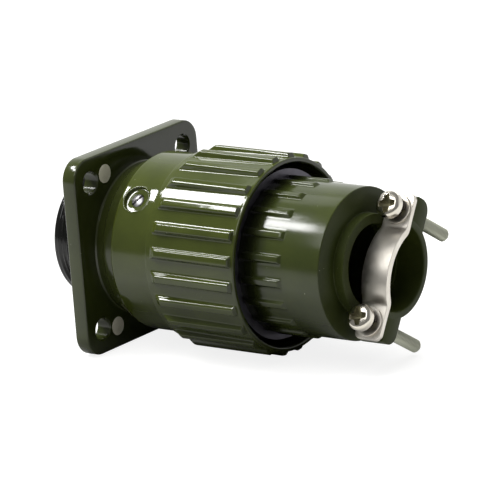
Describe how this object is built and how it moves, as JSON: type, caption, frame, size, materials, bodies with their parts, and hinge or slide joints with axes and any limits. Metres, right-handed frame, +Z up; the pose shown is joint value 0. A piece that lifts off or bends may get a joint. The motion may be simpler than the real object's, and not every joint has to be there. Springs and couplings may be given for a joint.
{
  "type": "aviation plug connector",
  "caption": "Circular multi-pin power connector, mated: square-flange panel receptacle, cable plug with ribbed coupling nut, and a screwed saddle clamp for the cable.",
  "frame": {"origin": "centre of the square flange's mounting face, on the connector's axis", "axes": "+X along the connector's axis from the panel to the cable clamp; +Y and +Z along the flange's edges, +Z up"},
  "size_m": [0.1123, 0.0615, 0.06],
  "materials": {
    "olive_enamel": "gloss",
    "grey_alloy": "satin",
    "insert_moulding": "matte",
    "contact_plating": "satin",
    "seal_rubber": "matte",
    "spring_steel": "satin",
    "nickel_plate": "polished"
  },
  "bodies": {
    "receptacle": {"receptacle_shell": "olive_enamel", "flange_blind_pins": "grey_alloy", "receptacle_insert_front": "insert_moulding", "receptacle_insert_rear": "insert_moulding", "receptacle_snap_ring": "spring_steel", "pin_contacts": "contact_plating", "shell_seal": "seal_rubber"},
    "plug": {"plug_shell": "grey_alloy", "plug_insert_front": "insert_moulding", "plug_insert_rear": "insert_moulding", "plug_snap_ring": "spring_steel", "socket_contacts": "contact_plating", "nut_stop_ring": "spring_steel", "backshell": "olive_enamel"},
    "nut": {"coupling_nut": "olive_enamel", "nut_lock_screw": "nickel_plate"},
    "saddle": {"clamp_saddle": "nickel_plate", "flat_washer_upper": "nickel_plate", "flat_washer_lower": "nickel_plate", "spring_washer_upper": "nickel_plate", "spring_washer_lower": "nickel_plate"},
    "screw_upper": {"clamp_screw_upper": "nickel_plate"},
    "screw_lower": {"clamp_screw_lower": "nickel_plate"}
  },
  "joints": [
    {"name": "plug_slide", "type": "slide", "parent": "receptacle", "child": "plug", "axis": [1, 0, 0], "range_m": [0, 0.014]},
    {"name": "nut_turn", "type": "hinge", "parent": "plug", "child": "nut", "pos_m": [0.03, 0, 0], "axis": [1, 0, 0], "range_deg": [0, 3359.5]},
    {"name": "saddle_slide", "type": "slide", "parent": "plug", "child": "saddle", "axis": [0, -0.8499, 0.527], "range_m": [0, 0.0205]},
    {"name": "screw_turn_upper", "type": "hinge", "parent": "saddle", "child": "screw_upper", "pos_m": [0.093, 0.00896, 0.01445], "axis": [0, -0.8499, 0.527], "range_deg": [0, 10543.4]},
    {"name": "screw_turn_lower", "type": "hinge", "parent": "saddle", "child": "screw_lower", "pos_m": [0.093, -0.00896, -0.01445], "axis": [0, -0.8499, 0.527], "range_deg": [0, 10543.4]}
  ],
  "couplings": [
    {"joint": "plug_slide", "follows": "nut_turn", "m_per_rad": 0.00023873},
    {"joint": "screw_turn_upper", "follows": "saddle_slide", "rad_per_m": 8976},
    {"joint": "screw_turn_lower", "follows": "saddle_slide", "rad_per_m": 8976}
  ]
}
